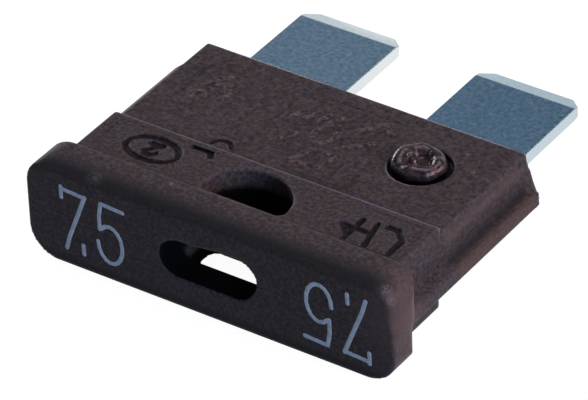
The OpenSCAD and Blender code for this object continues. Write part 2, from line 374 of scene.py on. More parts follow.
def settle(points, field, rounds=2):
    """Moves points along the field's slope onto its zero level."""
    reach, steepness_floor, longest_step = 0.01, 0.2, 0.05
    for _ in range(rounds):
        value = field(*points.T)
        slope = np.stack([
            (field(*(points + reach * e).T) - field(*(points - reach * e).T)) / (2 * reach)
            for e in np.eye(3)
        ], axis=1)
        size = np.maximum((slope ** 2).sum(axis=1), steepness_floor)
        step = np.clip(value / size, -longest_step, longest_step)
        points = points - slope * step[:, None]
    return points


def new_piece(name, points, faces, material):
    """A smooth mesh piece of the fuse that rides on its one body."""
    if isinstance(faces, np.ndarray):
        faces = faces.tolist()
    mesh = bpy.data.meshes.new(name)
    mesh.from_pydata(np.asarray(points).tolist(), [], faces)
    mesh.update()
    mesh.polygons.foreach_set("use_smooth", [True] * len(mesh.polygons))
    mesh.materials.append(material)
    piece = bpy.data.objects.new(name, mesh)
    bpy.context.scene.collection.objects.link(piece)
    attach(piece, "root")
    return piece


# Nodes that the materials share

FLOAT, VECTOR = "NodeSocketFloat", "NodeSocketVector"
# Colour sockets of a mix node by number, because it has one of each name for every kind of value
MIX_FIRST, MIX_SECOND, MIX_RESULT = 6, 7, 2


def feed(tree, node, inputs):
    """Gives a node's inputs, by name or number, another node's output or a value of their own."""
    for key, value in inputs.items():
        if isinstance(value, bpy.types.NodeSocket):
            tree.links.new(value, node.inputs[key])
        else:
            node.inputs[key].default_value = value


def new_material(name):
    """Empty node material with its output and a principled surface."""
    material = bpy.data.materials.new(name)
    material.use_nodes = True
    tree = material.node_tree
    tree.nodes.clear()
    surface = tree.nodes.new("ShaderNodeBsdfPrincipled")
    feed(tree, tree.nodes.new("ShaderNodeOutputMaterial"), {"Surface": surface.outputs["BSDF"]})
    return material, tree, surface


def new_group(name, inputs, outputs):
    """Node group with its sockets, given together with its entry and its exit."""
    group = bpy.data.node_groups.new(name, "ShaderNodeTree")
    for in_out, sockets in (("INPUT", inputs), ("OUTPUT", outputs)):
        for socket_name, kind in sockets.items():
            group.interface.new_socket(socket_name, in_out=in_out, socket_type=kind)
    return group, group.nodes.new("NodeGroupInput"), group.nodes.new("NodeGroupOutput")


def skin_group():
    """Fine skin of a moulded or stamped surface: two blotchy masks, a fine mask, and a height."""
    sizes = {"Blotch Size": FLOAT, "Grain Size": FLOAT}
    masks = {"Blotches": FLOAT, "Tint": FLOAT, "Grain": FLOAT, "Height": FLOAT}
    group, entry, leave = new_group("fine_skin", sizes, masks)
    where = group.nodes.new("ShaderNodeTexCoord").outputs["Object"]

    def noise(size, detail, shift):
        """Noise with lumps of a size. Its shift, in metres, keeps it unlike the others."""
        moved = vector_node(group, "ADD", where, (shift, shift, shift))
        texture = group.nodes.new("ShaderNodeTexNoise")
        scale = math_node(group, "DIVIDE", 1.0 / MM, entry.outputs[size])
        feed(group, texture, {"Vector": moved, "Scale": scale, "Detail": detail, "Roughness": 0.6})
        return texture.outputs["Fac"]

    blotches = noise("Blotch Size", 3.0, 0.0)
    tint = noise("Blotch Size", 3.0, 0.37)
    grain = noise("Grain Size", 2.0, 0.11)
    height = math_node(group, "ADD", blotches, grain)
    feed(group, leave, {"Blotches": blotches, "Tint": tint, "Grain": grain, "Height": height})
    return group


def spot_group():
    """Soft round spot at a place, in metres: 1 in its middle and 0 past its radius."""
    group, entry, leave = new_group("soft_spot", {"Centre": VECTOR, "Radius": FLOAT}, {"Amount": FLOAT})
    where = group.nodes.new("ShaderNodeTexCoord").outputs["Object"]
    apart = vector_node(group, "DISTANCE", where, entry.outputs["Centre"], "Value")
    feed(group, leave, {"Amount": value_range(group, apart, 0.0, entry.outputs["Radius"], 1.0, 0.0)})
    return group


def use_group(tree, group, inputs):
    """Places a shared group in a material, with inputs of its own."""
    node = tree.nodes.new("ShaderNodeGroup")
    node.node_tree = group
    feed(tree, node, inputs)
    return node


def use_skin(tree, group, blotch, grain):
    """The shared skin, with its sizes in millimetres."""
    return use_group(tree, group, {"Blotch Size": blotch, "Grain Size": grain})


def use_spot(tree, group, centre, radius):
    """The shared spot, with its middle and radius in millimetres."""
    inputs = {"Centre": tuple(place(centre)), "Radius": radius * MM}
    return use_group(tree, group, inputs).outputs["Amount"]


def colour_ramp(tree, factor, stops):
    """Colour ramp between (place, colour) stops."""
    node = tree.nodes.new("ShaderNodeValToRGB")
    elements = node.color_ramp.elements
    while len(elements) < len(stops):
        elements.new(0.5)
    for element, (place_at, colour) in zip(elements, stops):
        element.position = place_at
        element.color = (*colour, 1.0)
    feed(tree, node, {"Fac": factor})
    return node.outputs["Color"]


def value_range(tree, value, low, high, to_low=0.0, to_high=1.0):
    """Maps a value from one range to another."""
    node = tree.nodes.new("ShaderNodeMapRange")
    feed(tree, node, {"Value": value, "From Min": low, "From Max": high, "To Min": to_low, "To Max": to_high})
    return node.outputs["Result"]


def math_node(tree, operation, a, b=0.0):
    """One operation on two values, each a socket or a number."""
    node = tree.nodes.new("ShaderNodeMath")
    node.operation = operation
    feed(tree, node, {0: a, 1: b})
    return node.outputs[0]


def vector_node(tree, operation, a, b, result="Vector"):
    """One operation on two vectors, each a socket or three numbers."""
    node = tree.nodes.new("ShaderNodeVectorMath")
    node.operation = operation
    feed(tree, node, {0: a, 1: b})
    return node.outputs[result]


def split_vector(tree, vector):
    """X, Y and Z of a vector."""
    node = tree.nodes.new("ShaderNodeSeparateXYZ")
    feed(tree, node, {0: vector})
    return tuple(node.outputs)


def product(tree, *values):
    """Product of several values."""
    total = values[0]
    for value in values[1:]:
        total = math_node(tree, "MULTIPLY", total, value)
    return total


def mix_colour(tree, factor, first, second, blend="MIX"):
    """Blend of two colours, each a socket or a colour."""
    node = tree.nodes.new("ShaderNodeMix")
    node.data_type = "RGBA"
    node.blend_type = blend
    first, second = ((*colour, 1.0) if isinstance(colour, tuple) else colour for colour in (first, second))
    feed(tree, node, {"Factor": factor, MIX_FIRST: first, MIX_SECOND: second})
    return node.outputs[MIX_RESULT]


def add_bump(tree, surface, height, depth):
    """Bump of a depth in millimetres."""
    node = tree.nodes.new("ShaderNodeBump")
    feed(tree, node, {"Strength": 1.0, "Distance": depth * MM, "Height": height})
    feed(tree, surface, {"Normal": node.outputs["Normal"]})


def working_place(tree):
    """X, Y and Z of the surface in millimetres from the head bar's front and the parting plane."""
    where = tree.nodes.new("ShaderNodeTexCoord").outputs["Object"]
    moved = vector_node(tree, "SUBTRACT", where, (0.0, FRONT_Y, PARTING_Z))
    return split_vector(tree, vector_node(tree, "MULTIPLY", moved, (1.0 / MM,) * 3))


def facing(tree):
    """X, Y and Z of the surface's normal."""
    return split_vector(tree, tree.nodes.new("ShaderNodeNewGeometry").outputs["Normal"])


def pointiness(tree):
    """How far the surface sticks out where it is: above a half on edges, below a half in corners."""
    return tree.nodes.new("ShaderNodeNewGeometry").outputs["Pointiness"]


# Brown plastic. Colours are linear, sizes in millimetres

PLASTIC_SKIN = (0.18, 0.08)
PLASTIC_BUMP, PLASTIC_GLOSS = 0.012, 0.05
BROWN_STOPS = (
    (0.32, (0.031, 0.024, 0.026)),
    (0.5, (0.059, 0.046, 0.048)),
    (0.68, (0.094, 0.073, 0.076)),
)
VIOLET_AND_OLIVE_STOPS = (
    (0.35, (1.16, 0.95, 0.76)),
    (0.5, (1.0, 1.0, 1.0)),
    (0.65, (0.92, 0.91, 1.28)),
)
CORNER_SHADE = (0.018, 0.015, 0.018)
RIDGE_GLEAM = (0.24, 0.20, 0.27)
RIM_GLEAM = (0.55, 0.50, 0.56)
# Painted highlight on the right end of the head bar
END_HIGHLIGHT_BROWN = (0.135, 0.084, 0.082)
TURNED_SHADE = (0.023, 0.0215, 0.024)
WORN_GREY = (0.26, 0.22, 0.24)
# Painted light on the chamfer and the rail's edge, painted shade in the groove between them
CHAMFER_PAINTED_LIGHT = (0.13, 0.082, 0.08)
GROOVE_SHADE = (0.019, 0.016, 0.018)
RAIL_EDGE_PAINTED_LIGHT = (0.12, 0.062, 0.045)
DEEP_SHADE = (0.006, 0.005, 0.006)
MELTED_SHADE, MELTED_SHEEN = (0.5, 0.42, 0.45), (1.0, 0.76, 0.8, 1.0)
# Worn places on the head bar's edges and the upper face: middle, radius and strength
WORN_PLACES = (
    ((-5.94, 0.3, 2.35), 0.5, 0.35),
    ((-2.75, 1.45, 2.5), 0.2, 0.8),
    ((8.95, 0.25, 2.25), 0.35, 0.9),
    ((9.1, 0.25, 1.7), 0.28, 0.7),
    ((7.1, 9.85, 1.68), 0.15, 1.0),
    ((6.2, 10.85, 1.68), 0.12, 1.0),
)
# Painted highlight: the right end of the head bar, lighter and redder where the light falls on it
END_HIGHLIGHT_MIDDLE, END_HIGHLIGHT_RADIUS = (9.5, 0.8, 0.6), 2.6
# Half width of the raised line on the parting plane, and its height beside the skin's own
PARTING_LINE, PARTING_RISE = 0.05, 2.5
STAKE_MIDDLES = ((STAKE_X, STAKE_Y, STAKE_FLOOR), (-STAKE_X, STAKE_Y, -STAKE_FLOOR))
GROOVE_REACH = STAKE_RADIUS + 0.25
# Bands along the sides of the body, painted light on the chamfer and the rail's edge and painted shade in the groove:
# from and to in |X|, from and to in height, strength and colour
SIDE_BANDS = (
    (8.2, 8.45, 1.15, 1.4, 0.4, CHAMFER_PAINTED_LIGHT),
    (8.6, 8.75, 0.02, 0.28, 0.68, GROOVE_SHADE),
    (9.05, 9.5, -0.5, 0.05, 0.4, RAIL_EDGE_PAINTED_LIGHT),
)
BAND_SOFT = 0.32


def brown_mottle(tree, skin):
    """Brown of the plastic, wandering a little to violet and to olive."""
    dark_and_light = colour_ramp(tree, skin.outputs["Blotches"], BROWN_STOPS)
    violet_and_olive = colour_ramp(tree, skin.outputs["Tint"], VIOLET_AND_OLIVE_STOPS)
    return mix_colour(tree, 1.0, dark_and_light, violet_and_olive, "MULTIPLY")


def deep_places(tree, where):
    """1 deep inside the slot and the window, where shadow swallows the light, and 0 elsewhere."""
    x, y, z = where
    shade_rise = value_range(tree, x, 0.4, 1.9, 0.0, 0.6)
    deep = product(
        tree,
        value_range(tree, math_node(tree, "ABSOLUTE", x), 2.55, 2.7, 1.0, 0.0),
        value_range(tree, y, 0.02, 0.07),
        value_range(tree, y, WINDOW_END + 0.3, WINDOW_END + 0.4, 1.0, 0.0),
        value_range(tree, math_node(tree, "SUBTRACT", z, shade_rise), 1.1, 1.4, 1.0, 0.0),
    )
    lit_left_wall = product(
        tree,
        value_range(tree, x, -2.1, -1.95, 0.5, 0.0),
        value_range(tree, y, FRONT_WALL, FRONT_WALL + 0.1),
        value_range(tree, z, -0.8, -0.4, 1.0, 0.0),
        value_range(tree, z, -1.5, -1.2),
    )
    return product(tree, deep, math_node(tree, "SUBTRACT", 1.0, lit_left_wall))


def side_band(tree, where, inner, outer, low, high, strength):
    """The strength of a band beside the body, painted light on the chamfer and the rail's edge and painted shade in
    the groove, and 0 outside its limits. Heights turn over with the side.
    """
    x, y, z = where
    off_middle = math_node(tree, "ABSOLUTE", x)
    height = product(tree, z, math_node(tree, "SIGN", x))
    return product(
        tree,
        value_range(tree, off_middle, inner - BAND_SOFT, inner, 0.0, strength),
        value_range(tree, off_middle, outer, outer + BAND_SOFT, 1.0, 0.0),
        value_range(tree, height, low - BAND_SOFT, low),
        value_range(tree, height, high, high + BAND_SOFT, 1.0, 0.0),
        value_range(tree, y, NECK_END, NECK_END + BAND_SOFT),
        value_range(tree, y, END_WALL_START - BAND_SOFT, END_WALL_START, 1.0, 0.0),
    )


def turned_edge(tree, where):
    """1 along the upper front edge of the head bar, which turns away from the light, and 0 elsewhere."""
    x, y, z = where
    return product(
        tree,
        value_range(tree, y, 0.3, 1.05, 1.0, 0.0),
        value_range(tree, math_node(tree, "ABSOLUTE", z), 1.95, 2.35),
    )


def far_side(tree):
    """How far the surface looks towards the blades."""
    return value_range(tree, facing(tree)[1], 0.1, 0.5, 0.0, 0.9)


def far_ridges(tree, where):
    """Painted highlight on edges behind the window that look towards the blades, and a hint of it on every other
    edge.
    """
    edge = value_range(tree, pointiness(tree), 0.505, 0.545)
    behind_window = value_range(tree, where[1], 4.9, 5.0)
    ridge = product(tree, far_side(tree), behind_window)
    return product(tree, edge, math_node(tree, "ADD", ridge, 0.04))


def mouth_rims(tree, where):
    """Painted highlight on the rim of the body's far end over each blade."""
    x, y, z = where
    off_middle = math_node(tree, "ABSOLUTE", x)
    return product(
        tree,
        value_range(tree, off_middle, 1.9, 2.2),
        value_range(tree, off_middle, 7.3, 7.6, 1.0, 0.0),
        value_range(tree, y, 12.15, 12.25),
        value_range(tree, math_node(tree, "ABSOLUTE", z), 1.4, 1.5),
        far_side(tree),
    )


def worn_places(tree, skin, spot_nodes):
    """Pale scuffs, broken up by the grain."""
    total = 0.0
    for centre, radius, strength in WORN_PLACES:
        spot = use_spot(tree, spot_nodes, centre, radius)
        total = math_node(tree, "ADD", total, product(tree, spot, strength))
    return product(tree, total, value_range(tree, skin.outputs["Grain"], 0.42, 0.6))


def stake_groove(tree, where, spot_nodes, centre):
    """Painted shade: 1 in the sunk ring round a stake, and 0 elsewhere."""
    spot = use_spot(tree, spot_nodes, centre, GROOVE_REACH)
    return product(
        tree,
        value_range(tree, spot, 0.02, 0.06),
        value_range(tree, math_node(tree, "ABSOLUTE", where[2]), 1.5, 1.63, 1.0, 0.0),
    )


def plastic_material(skin_nodes, spot_nodes):
    """Brown moulded plastic: mottled, finely grained, with a parting line and worn edges; painted shade in its
    hollows and corners, painted highlights on its ridges, rims, chamfers and the head bar's right end.
    """
    material, tree, surface = new_material("moulded_plastic")
    skin = use_skin(tree, skin_nodes, *PLASTIC_SKIN)
    where = working_place(tree)
    deep = deep_places(tree, where)
    layers = [
        (value_range(tree, pointiness(tree), 0.455, 0.495, 0.6, 0.0), CORNER_SHADE),
        (far_ridges(tree, where), RIDGE_GLEAM),
        (mouth_rims(tree, where), RIM_GLEAM),
        # Painted highlight on the right end of the head bar
        (use_spot(tree, spot_nodes, END_HIGHLIGHT_MIDDLE, END_HIGHLIGHT_RADIUS), END_HIGHLIGHT_BROWN),
        (turned_edge(tree, where), TURNED_SHADE),
        (worn_places(tree, skin, spot_nodes), WORN_GREY),
    ]
    # Painted light on the chamfer and the rail's edge, painted shade in the groove
    for *limits, band_colour in SIDE_BANDS:
        layers.append((side_band(tree, where, *limits), band_colour))
    layers.append((deep, DEEP_SHADE))
    for centre in STAKE_MIDDLES:
        layers.append((stake_groove(tree, where, spot_nodes, centre), DEEP_SHADE))
    colour = brown_mottle(tree, skin)
    for amount, layer_colour in layers:
        colour = mix_colour(tree, amount, colour, layer_colour)
    roughness = value_range(tree, skin.outputs["Grain"], 0.3, 0.7, 0.34, 0.5)
    roughness = math_node(tree, "MAXIMUM", roughness, deep)
    feed(tree, surface, {"Base Color": colour, "Roughness": roughness, "Specular IOR Level": PLASTIC_GLOSS})
    off_plane = math_node(tree, "ABSOLUTE", where[2])
    parting_line = value_range(tree, off_plane, 0.0, PARTING_LINE, PARTING_RISE, 0.0)
    add_bump(tree, surface, math_node(tree, "ADD", skin.outputs["Height"], parting_line), PLASTIC_BUMP)
    return material


def mark_material(name, skin_nodes, shade):
    """The plastic inside a moulded mark, darker with painted shade in its grooves or paler on its rubbed tops."""
    material, tree, surface = new_material(name)
    skin = use_skin(tree, skin_nodes, *PLASTIC_SKIN)
    colour = mix_colour(tree, 1.0, brown_mottle(tree, skin), shade, "MULTIPLY")
    feed(tree, surface, {"Base Color": colour, "Roughness": 0.5, "Specular IOR Level": PLASTIC_GLOSS})
    add_bump(tree, surface, skin.outputs["Height"], PLASTIC_BUMP)
    return material


def melted_material(skin_nodes):
    """The same plastic where the staking tool melted it: smooth and shiny."""
    material, tree, surface = new_material("melted_plastic")
    skin = use_skin(tree, skin_nodes, 0.35, 0.16)
    feed(tree, surface, {
        "Base Color": mix_colour(tree, 1.0, brown_mottle(tree, skin), MELTED_SHADE, "MULTIPLY"),
        "Roughness": value_range(tree, skin.outputs["Blotches"], 0.35, 0.65, 0.12, 0.3),
        "Specular IOR Level": 0.45,
        "Specular Tint": MELTED_SHEEN,
    })
    add_bump(tree, surface, skin.outputs["Height"], 0.03)
    return material


# Metal and ink

ZINC_STOPS = (
    (0.3, (0.57, 0.71, 0.78)),
    (0.7, (0.78, 0.88, 0.93)),
)
VIOLET_AND_GREEN_STOPS = (
    (0.38, (0.90, 1.02, 0.98)),
    (0.62, (1.03, 0.95, 1.05)),
)
CUT_METAL = (0.80, 0.84, 0.83)
RIGHT_BLADE_DARKENING = (0.62, 0.72, 0.8)
INK_STOPS = (
    (0.3, (0.40, 0.42, 0.52)),
    (0.7, (0.66, 0.68, 0.80)),
)


def metal_material(skin_nodes):
    """Satin plated zinc, bare on its bevels and cut edges, darker towards the blade at the right."""
    material, tree, surface = new_material("plated_zinc")
    skin = use_skin(tree, skin_nodes, 0.22, 0.08)
    colour = colour_ramp(tree, skin.outputs["Blotches"], ZINC_STOPS)
    violet_and_green = colour_ramp(tree, skin.outputs["Tint"], VIOLET_AND_GREEN_STOPS)
    colour = mix_colour(tree, 1.0, colour, violet_and_green, "MULTIPLY")
    upright = math_node(tree, "ABSOLUTE", facing(tree)[2])
    on_flats = value_range(tree, upright, 0.93, 0.985)
    colour = mix_colour(tree, on_flats, CUT_METAL, colour)
    x, y, z = working_place(tree)
    # Darker towards the blade at the right
    darker_right = value_range(tree, x, -3.0, 4.0, 0.0, 0.8)
    colour = mix_colour(tree, darker_right, colour, mix_colour(tree, 1.0, colour, RIGHT_BLADE_DARKENING, "MULTIPLY"))
    roughness = value_range(tree, skin.outputs["Tint"], 0.3, 0.7, 0.22, 0.3)
    feed(tree, surface, {"Base Color": colour, "Metallic": 1.0, "Roughness": roughness})
    add_bump(tree, surface, skin.outputs["Height"], 0.0012)
    return material


def ink_material(skin_nodes):
    """Pale blue printing ink, a little thin in places."""
    material, tree, surface = new_material("printing_ink")
    skin = use_skin(tree, skin_nodes, 0.3, 0.08)
    colour = colour_ramp(tree, skin.outputs["Blotches"], INK_STOPS)
    feed(tree, surface, {"Base Color": colour, "Roughness": 0.5})
    add_bump(tree, surface, skin.outputs["Height"], 0.004)
    return material


# Light, floor and background

# Lamps: name, power in watts, size in metres, azimuth and elevation in degrees, colour
LAMPS = (
    ("overhead", 1.08, 0.35, 170, 72, (1.0, 0.95, 0.93)),
    ("right_side", 1.5, 0.25, 95, 25, (1.0, 0.81, 0.79)),
    ("far_left", 1.2, 0.2, 250, 14, (0.82, 0.84, 1.0)),
    ("front_fill", 0.95, 0.1, 63, 14, (0.3, 0.62, 1.0)),
)
LAMP_DISTANCE = 0.5
# What metal mirrors, from below the horizon to overhead
MIRRORED_STOPS = (
    (0.0, (0.8, 0.8, 0.8)),
    (0.24, (0.74, 0.75, 0.74)),
    (0.42, (0.09, 0.16, 0.23)),
    (0.6, (0.045, 0.095, 0.15)),
    (0.9, (0.08, 0.11, 0.15)),
)
WHITE = (1.0, 1.0, 1.0, 1.0)
SKY_COLOUR, SKY_STRENGTH = (0.7, 0.85, 1.0, 1.0), 0.1
FLOOR_SIZE = 3.0
FLOOR_COLOUR = (0.17, 0.17, 0.18, 1.0)
FLOOR_GLOW, FLOOR_GLOW_IN_METAL = 0.95, 0.9


def panel_light(name, power, size, azimuth, elevation, colour):
    """Square lamp that looks at the fuse. The azimuth is counted from the front towards the right."""
    turn, rise = math.radians(azimuth), math.radians(elevation)
    direction = Vector((math.sin(turn) * math.cos(rise), -math.cos(turn) * math.cos(rise), math.sin(rise)))
    data = bpy.data.lights.new(name, "AREA")
    data.energy = power
    data.shape = "SQUARE"
    data.size = size
    data.color = colour
    lamp = bpy.data.objects.new(name, data)
    lamp.location = direction * LAMP_DISTANCE
    lamp.rotation_mode = "QUATERNION"
    lamp.rotation_quaternion = (-direction).to_track_quat("-Z", "Y")
    bpy.context.scene.collection.objects.link(lamp)


def make_light():
    """Soft light from above, a stronger one low at the right, a cool one at the left, a weak blue one in front."""
    for lamp in LAMPS:
        panel_light(*lamp)


def background(tree, colour, strength=1.0):
    """Plain light of a colour from every side."""
    node = tree.nodes.new("ShaderNodeBackground")
    feed(tree, node, {"Color": colour, "Strength": strength})
    return node.outputs["Background"]


def either_light(tree, chooser, first, second):
    """The first light, or the second where a mask is 1."""
    node = tree.nodes.new("ShaderNodeMixShader")
    feed(tree, node, {"Fac": chooser, 1: first, 2: second})
    return node.outputs["Shader"]


def make_world():
    """White to the camera, and to metal a white horizon under a dusky blue; a little blue light for the rest."""
    world = bpy.data.worlds.new("surround")
    bpy.context.scene.world = world
    world.use_nodes = True
    tree = world.node_tree
    tree.nodes.clear()
    upward = split_vector(tree, tree.nodes.new("ShaderNodeTexCoord").outputs["Generated"])[2]
    mirrored = background(tree, colour_ramp(tree, upward, MIRRORED_STOPS))
    given = background(tree, SKY_COLOUR, SKY_STRENGTH)
    ray = tree.nodes.new("ShaderNodeLightPath").outputs
    unseen = either_light(tree, ray["Is Glossy Ray"], given, mirrored)
    shown = either_light(tree, ray["Is Camera Ray"], unseen, background(tree, WHITE))
    feed(tree, tree.nodes.new("ShaderNodeOutputWorld"), {"Surface": shown})


def make_floor():
    """Plain pale floor. It keeps the shadow, and shows white to the camera and in the metal."""
    mesh = bpy.data.meshes.new("floor")
    corners = [(x * FLOOR_SIZE, y * FLOOR_SIZE, 0.0) for x, y in ((-1, -1), (1, -1), (1, 1), (-1, 1))]
    mesh.from_pydata(corners, [], [(0, 1, 2, 3)])
    floor = bpy.data.objects.new("floor", mesh)
    bpy.context.scene.collection.objects.link(floor)
    material, tree, surface = new_material("pale_floor")
    feed(tree, surface, {"Base Color": FLOOR_COLOUR, "Roughness": 0.9, "Specular IOR Level": 0.0})
    ray = tree.nodes.new("ShaderNodeLightPath").outputs
    in_metal = product(tree, ray["Is Glossy Ray"], FLOOR_GLOW_IN_METAL)
    seen = math_node(tree, "MAXIMUM", ray["Is Camera Ray"], in_metal)
    glow = tree.nodes.new("ShaderNodeEmission")
    feed(tree, glow, {"Strength": product(tree, seen, FLOOR_GLOW)})
    both = tree.nodes.new("ShaderNodeAddShader")
    feed(tree, both, {0: surface.outputs["BSDF"], 1: glow.outputs["Emission"]})
    output = next(node for node in tree.nodes if node.type == "OUTPUT_MATERIAL")
    feed(tree, output, {"Surface": both.outputs["Shader"]})
    mesh.materials.append(material)


# Strokes: the printed rating

RATING_STROKE, RATING_HEIGHT = 0.21, 0.012
STROKE_SIDES, CAP_ROWS = 8, 4
# Each stroke of a numeral stands a share higher than the one before, so that crossings don't flicker
STROKE_LIFT = 0.06
# The two prints on the front: name, middle in X and Z, and 1 upright or -1 turned by half a turn
RATINGS = (
    ("rating_upright", -6.08, -0.1, 1),
    ("rating_turned", 6.6, -0.2, -1),
)


def stroke(path, width, height):
    """Round-ended stroke along a path of (u, v) points, as (u, v, rise) points and faces."""
    path = np.asarray(path, float)
    half = width / 2
    leg = np.diff(path, axis=0)
    leg /= np.linalg.norm(leg, axis=1)[:, None]
    tangent = np.vstack([leg[:1], leg[:-1] + leg[1:], leg[-1:]])
    tangent /= np.linalg.norm(tangent, axis=1)[:, None]

    def cap(end, turns):
        return [
            (path[end] + tangent[end] * half * math.sin(turn), tangent[end], half * math.cos(turn))
            for turn in np.radians(turns)
        ]

    rows = cap(0, np.linspace(-90, 0, CAP_ROWS + 1)[:-1])
    rows += [(point, direction, half) for point, direction in zip(path, tangent)]
    rows += cap(-1, np.linspace(0, 90, CAP_ROWS + 1)[1:])
    points, faces = [], []
    for centre, direction, reach in rows:
        across = np.array([-direction[1], direction[0]])
        for share in np.linspace(-1, 1, STROKE_SIDES + 1):
            rise = height * (1 - abs(share) ** 4) * min(1.0, reach / half + 0.15)
            points.append((*(centre + across * reach * share), rise))
    for i in range(len(rows) - 1):
        for k in range(STROKE_SIDES):
            a = i * (STROKE_SIDES + 1) + k
            faces.append((a, a + 1, a + STROKE_SIDES + 2, a + STROKE_SIDES + 1))
    return points, faces


def strokes(paths, width, height):
    """Several strokes as one set of points and faces."""
    points, faces = [], []
    for i, path in enumerate(paths):
        made, joined = stroke(path, width, height * (1 + STROKE_LIFT * i))
        faces += [tuple(k + len(points) for k in face) for face in joined]
        points += made
    return np.array(points), faces


def arc(u, v, radius_u, radius_v, start, end, steps=16):
    """Points on part of an ellipse, with angles in degrees."""
    angles = np.radians(np.linspace(start, end, steps))
    return [(u + radius_u * math.cos(a), v + radius_v * math.sin(a)) for a in angles]


def rating_paths():
    """The numerals 7.5 about their own middle, in millimetres."""
    seven = [
        [(-1.55, 1.05), (-1.55, 1.6)],
        [(-1.55, 1.5), (-0.3, 1.42)],
        [(-0.3, 1.45), (-0.8, 0.16), (-1.22, -0.9), (-1.43, -1.6)],
    ]
    point = [[(-0.52, -1.15), (-0.51, -1.62)]]
    five = [
        [(1.7, 1.38), (0.55, 1.45)],
        [(0.55, 1.45), (0.43, 0.78), (0.43, 0.08)],
        [(0.43, 0.08)] + arc(0.94, -0.6, 0.64, 0.97, 130, -180),
    ]
    return seven + point + five


def print_rating(ink):
    """The rating on the front of the head bar, upright at the left and turned by half a turn at the right."""
    points, faces = strokes(rating_paths(), RATING_STROKE, RATING_HEIGHT)
    u, v, rise = points.T
    for name, middle_x, middle_z, turn in RATINGS:
        placed = np.column_stack([middle_x + turn * u, -rise, middle_z + turn * v])
        new_piece(name, place(placed), faces, ink)


# Moulded marks: plain shapes and numbers on finely divided patches of the upper face

def neck_left_mark():
    """The plain number 2 in a ring, turned by half a turn, then a bent bar by the window."""
    return [
        arc(-5.35, 3.65, 1.3, 0.82, 0, 360, 32),
        [(-5.05, 3.45), (-5.2, 3.25), (-5.5, 3.25), (-5.65, 3.45), (-5.05, 4.05), (-5.65, 4.05)],
        [(-3.9, 4.75), (-3.05, 4.75), (-2.85, 4.5)],
    ]


def neck_right_mark():
    """The plain number 47 with a bar between its numerals, turned by half a turn."""
    four = [[(5.3, 2.45), (5.3, 4.0)], [(5.3, 2.75), (4.75, 3.35), (5.9, 3.35)]]
    bar = [[(6.0, 4.05), (6.35, 2.5)]]
    seven = [[(7.55, 2.55), (7.55, 3.6), (7.0, 4.1), (6.5, 4.1)]]
    return four + bar + seven


def face_left_mark():
    """Row of small plain figures."""
    return [
        arc(-6.45, 8.6, 0.3, 0.3, 0, 360),
        [(-6.2, 9.25), (-6.55, 9.6), (-6.1, 9.75)],
        [(-6.3, 10.15), (-5.8, 10.45)],
        arc(-5.6, 9.7, 0.28, 0.28, 90, 330),
        [(-5.35, 8.9), (-5.15, 9.3)],
    ]


def face_arc_mark():
    """Short arc behind the neck."""
    return [arc(-3.3, 5.85, 0.5, 0.45, 170, 20, 8)]


def face_mark():
    """Worn mark of plain shapes: a lozenge, a row of bars, slopes, and the number 10."""
    lozenge = [(-0.2, 6.5), (1.2, 6.7), (1.5, 7.9), (0.2, 7.7), (-0.2, 6.5)]
    number = [[(-1.6, 7.5), (-1.0, 8.5)], arc(0.1, 9.0, 0.5, 0.75, 0, 360)]
    bars = [[(-1.9 + 0.55 * i, 9.5 + 0.08 * i), (-1.6 + 0.55 * i, 10.1 + 0.08 * i)] for i in range(4)]
    slopes = [[(1.1, 8.3), (2.3, 9.4)], [(1.2, 9.9), (1.9, 10.9)], [(1.9, 10.9), (2.6, 10.4)]]
    return [lozenge] + number + bars + slopes


# Patches: name, low corner, high corner, level, strokes, stroke width, relief, roughness of the relief
NECK_LEVEL, FACE_LEVEL = NECK_HALF_T, BODY_HALF_T
MARK_PATCHES = (
    ("neck_left_patch", (-7.9, 2.55), (-2.55, 5.0), NECK_LEVEL, neck_left_mark, 0.26, -0.13, 0.0),
    ("neck_right_patch", (4.4, 2.2), (8.05, 4.9), NECK_LEVEL, neck_right_mark, 0.26, -0.13, 0.0),
    ("face_left_patch", (-7.3, 8.0), (-4.7, 11.0), FACE_LEVEL, face_left_mark, 0.26, 0.07, 0.8),
    ("face_arc_patch", (-4.1, 5.6), (-2.65, 6.75), FACE_LEVEL, face_arc_mark, 0.2, -0.1, 0.0),
    ("face_patch", (-2.6, 6.0), (3.0, 11.5), FACE_LEVEL, face_mark, 0.2, 0.1, 0.7),
)
PLAIN_TONE, DARK_TONE, PALE_TONE, SPECK_TONE = 0, 1, 2, 3
GROOVED_SHADE, RUBBED_SHADE, SPECKLED_SHADE = (0.3, 0.3, 0.32), (1.65, 1.45, 1.4), (0.6, 0.6, 0.64)
PATCH_STEP = 0.035
PATCH_OVERLAP, PATCH_DIVE, DIVE_WIDTH = 0.2, 0.012, 0.1
# Walls of a stroke: how far they start inside and end outside its width, and how far they wander
WALL_INSIDE, WALL_OUTSIDE, WALL_WANDER = 0.06, 0.08, 0.03
# Clouds that break up a mark: size of the lumps and seed
WANDER_CLOUD, WEAR_CLOUD, SPECKLE_CLOUD = (0.3, 3), (0.16, 5), (0.13, 9)
CLOUD_CELLS = 64


def path_distance(x, y, path):
    """Distance from every point to a line of straight runs."""
    reach = np.full(x.shape, 9.0)
    for (ax, ay), (bx, by) in zip(path[:-1], path[1:]):
        length = (bx - ax) ** 2 + (by - ay) ** 2
        share = np.clip(((x - ax) * (bx - ax) + (y - ay) * (by - ay)) / length, 0.0, 1.0)
        reach = np.minimum(reach, np.hypot(x - ax - share * (bx - ax), y - ay - share * (by - ay)))
    return reach


